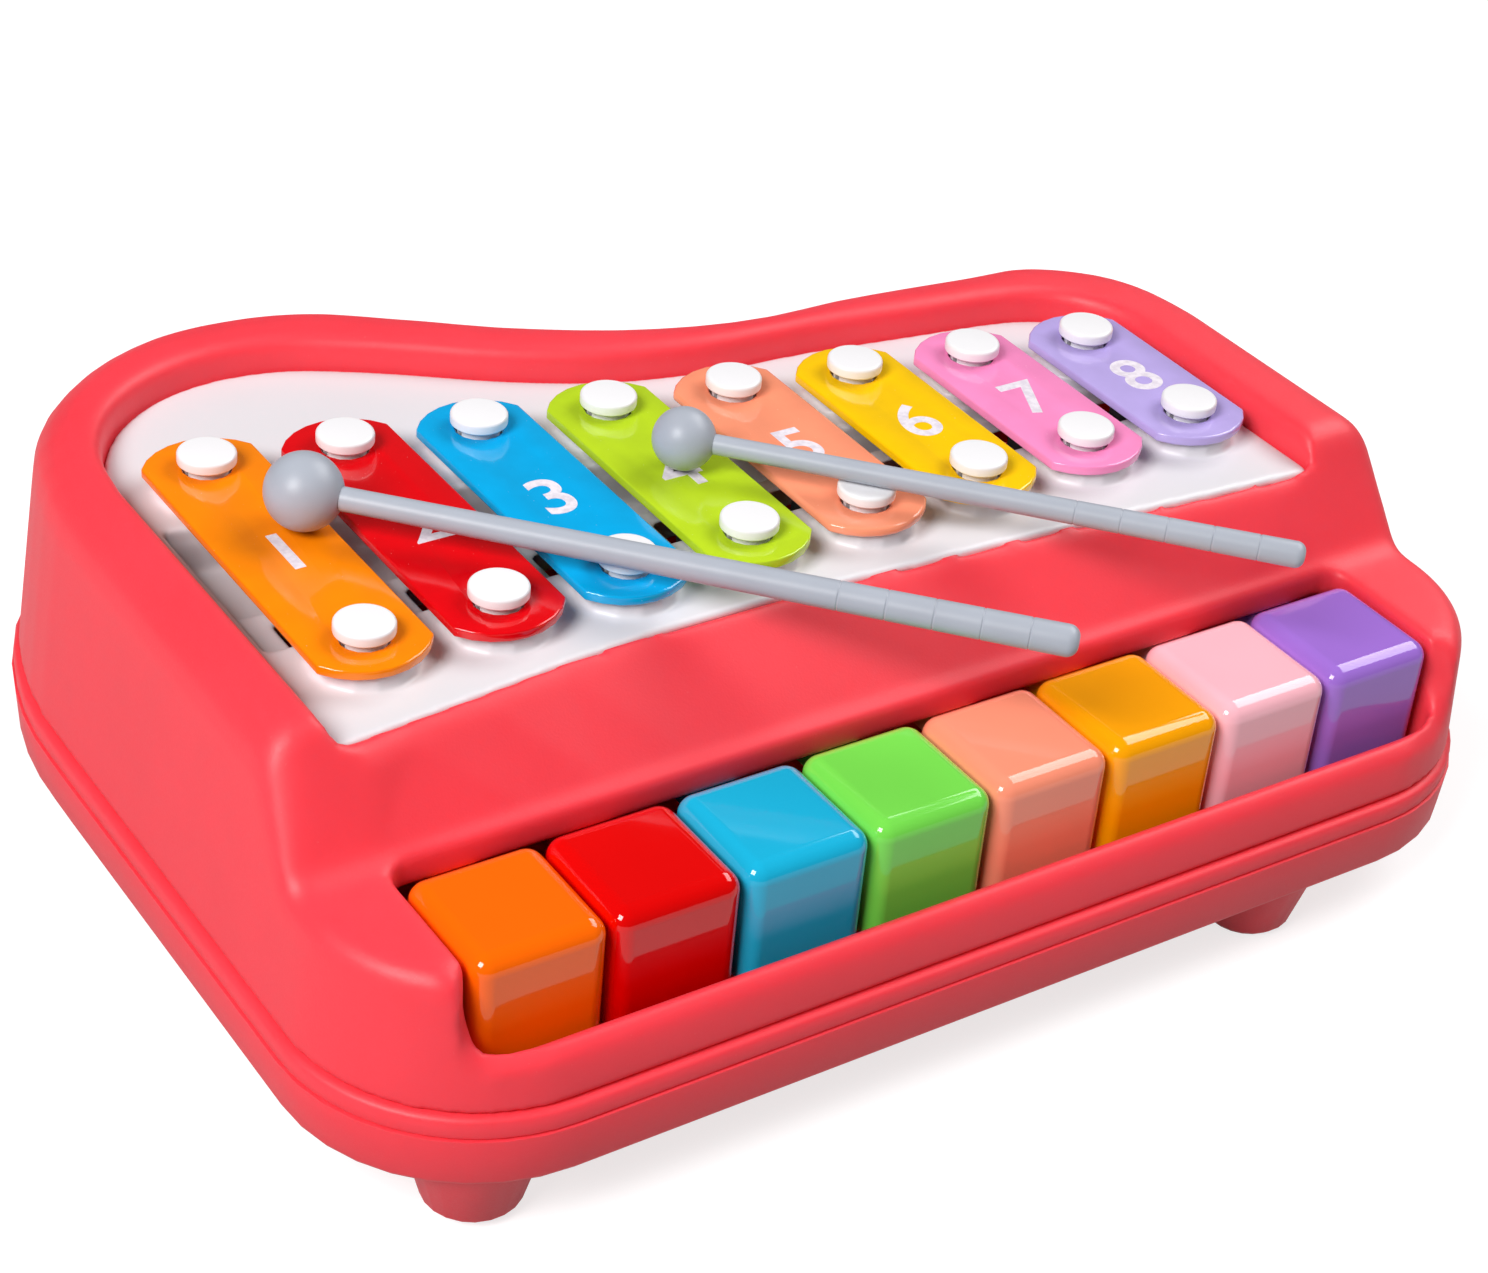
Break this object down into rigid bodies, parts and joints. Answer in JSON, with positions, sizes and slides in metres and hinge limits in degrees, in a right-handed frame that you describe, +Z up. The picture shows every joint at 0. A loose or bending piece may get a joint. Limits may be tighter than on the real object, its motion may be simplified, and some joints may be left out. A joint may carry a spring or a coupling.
{
  "type": "xylophone piano toy",
  "caption": "Toy combining a keyboard and a xylophone: sprung keys swing hammers up against painted metal tone bars, which two ball-ended mallets also play.",
  "frame": {"origin": "on the ground under the middle of the housing", "axes": "+X along the row of keys from the lowest bar to the highest, +Y from the keys to the back edge, +Z up"},
  "size_m": [0.262, 0.205, 0.0939],
  "materials": {
    "housing_red": "satin moulded",
    "tray_white": "satin moulded",
    "steel": "plain turned",
    "mallet_grey": "semi-gloss moulded",
    "hammer_rubber": "matte",
    "key_orange": "high gloss",
    "key_red": "high gloss",
    "key_blue": "high gloss",
    "key_green": "high gloss",
    "key_peach": "high gloss",
    "key_amber": "high gloss",
    "key_pink": "high gloss",
    "key_purple": "high gloss",
    "bar_orange": "gloss enamel",
    "bar_red": "gloss enamel",
    "bar_blue": "gloss enamel",
    "bar_lime": "gloss enamel",
    "bar_peach": "gloss enamel",
    "bar_yellow": "gloss enamel",
    "bar_pink": "gloss enamel",
    "bar_lavender": "gloss enamel"
  },
  "bodies": {
    "root": {"top_housing": "housing_red", "bottom_housing": "housing_red", "sound_tray": "tray_white", "key_shaft": "steel", "case_screw_1": "steel", "case_screw_2": "steel", "case_screw_3": "steel", "case_screw_4": "steel", "tone_bar_1": "bar_orange", "stud_front_1": "tray_white", "stud_rear_1": "tray_white", "tone_bar_2": "bar_red", "stud_front_2": "tray_white", "stud_rear_2": "tray_white", "tone_bar_3": "bar_blue", "stud_front_3": "tray_white", "stud_rear_3": "tray_white", "tone_bar_4": "bar_lime", "stud_front_4": "tray_white", "stud_rear_4": "tray_white", "tone_bar_5": "bar_peach", "stud_front_5": "tray_white", "stud_rear_5": "tray_white", "tone_bar_6": "bar_yellow", "stud_front_6": "tray_white", "stud_rear_6": "tray_white", "tone_bar_7": "bar_pink", "stud_front_7": "tray_white", "stud_rear_7": "tray_white", "tone_bar_8": "bar_lavender", "stud_front_8": "tray_white", "stud_rear_8": "tray_white"},
    "key_1_lever": {"key_1": "key_orange", "hammer_1": "hammer_rubber"},
    "key_2_lever": {"key_2": "key_red", "hammer_2": "hammer_rubber"},
    "key_3_lever": {"key_3": "key_blue", "hammer_3": "hammer_rubber"},
    "key_4_lever": {"key_4": "key_green", "hammer_4": "hammer_rubber"},
    "key_5_lever": {"key_5": "key_peach", "hammer_5": "hammer_rubber"},
    "key_6_lever": {"key_6": "key_amber", "hammer_6": "hammer_rubber"},
    "key_7_lever": {"key_7": "key_pink", "hammer_7": "hammer_rubber"},
    "key_8_lever": {"key_8": "key_purple", "hammer_8": "hammer_rubber"},
    "mallet_left": {"mallet_ball_left": "mallet_grey", "mallet_handle_left": "mallet_grey"},
    "mallet_right": {"mallet_ball_right": "mallet_grey", "mallet_handle_right": "mallet_grey"}
  },
  "joints": [
    {"name": "key_1_press", "type": "hinge", "parent": "root", "child": "key_1_lever", "pos_m": [-0.0945, -0.0471, 0.0513], "axis": [1, 0, 0], "range_deg": [0, 8], "stiffness_Nm_per_rad": 0.35, "springref_deg": -2.86},
    {"name": "key_2_press", "type": "hinge", "parent": "root", "child": "key_2_lever", "pos_m": [-0.0675, -0.0471, 0.0513], "axis": [1, 0, 0], "range_deg": [0, 8], "stiffness_Nm_per_rad": 0.35, "springref_deg": -2.86},
    {"name": "key_3_press", "type": "hinge", "parent": "root", "child": "key_3_lever", "pos_m": [-0.0405, -0.0471, 0.0513], "axis": [1, 0, 0], "range_deg": [0, 8], "stiffness_Nm_per_rad": 0.35, "springref_deg": -2.86},
    {"name": "key_4_press", "type": "hinge", "parent": "root", "child": "key_4_lever", "pos_m": [-0.0135, -0.0471, 0.0513], "axis": [1, 0, 0], "range_deg": [0, 8], "stiffness_Nm_per_rad": 0.35, "springref_deg": -2.86},
    {"name": "key_5_press", "type": "hinge", "parent": "root", "child": "key_5_lever", "pos_m": [0.0135, -0.0471, 0.0513], "axis": [1, 0, 0], "range_deg": [0, 8], "stiffness_Nm_per_rad": 0.35, "springref_deg": -2.86},
    {"name": "key_6_press", "type": "hinge", "parent": "root", "child": "key_6_lever", "pos_m": [0.0405, -0.0471, 0.0513], "axis": [1, 0, 0], "range_deg": [0, 8], "stiffness_Nm_per_rad": 0.35, "springref_deg": -2.86},
    {"name": "key_7_press", "type": "hinge", "parent": "root", "child": "key_7_lever", "pos_m": [0.0675, -0.0471, 0.0513], "axis": [1, 0, 0], "range_deg": [0, 8], "stiffness_Nm_per_rad": 0.35, "springref_deg": -2.86},
    {"name": "key_8_press", "type": "hinge", "parent": "root", "child": "key_8_lever", "pos_m": [0.0945, -0.0471, 0.0513], "axis": [1, 0, 0], "range_deg": [0, 8], "stiffness_Nm_per_rad": 0.35, "springref_deg": -2.86},
    {"name": "mallet_left_lift", "type": "slide", "parent": "root", "child": "mallet_left", "axis": [0, 0, 1], "range_m": [0, 0.06]},
    {"name": "mallet_right_lift", "type": "slide", "parent": "root", "child": "mallet_right", "axis": [0, 0, 1], "range_m": [0, 0.06]}
  ]
}
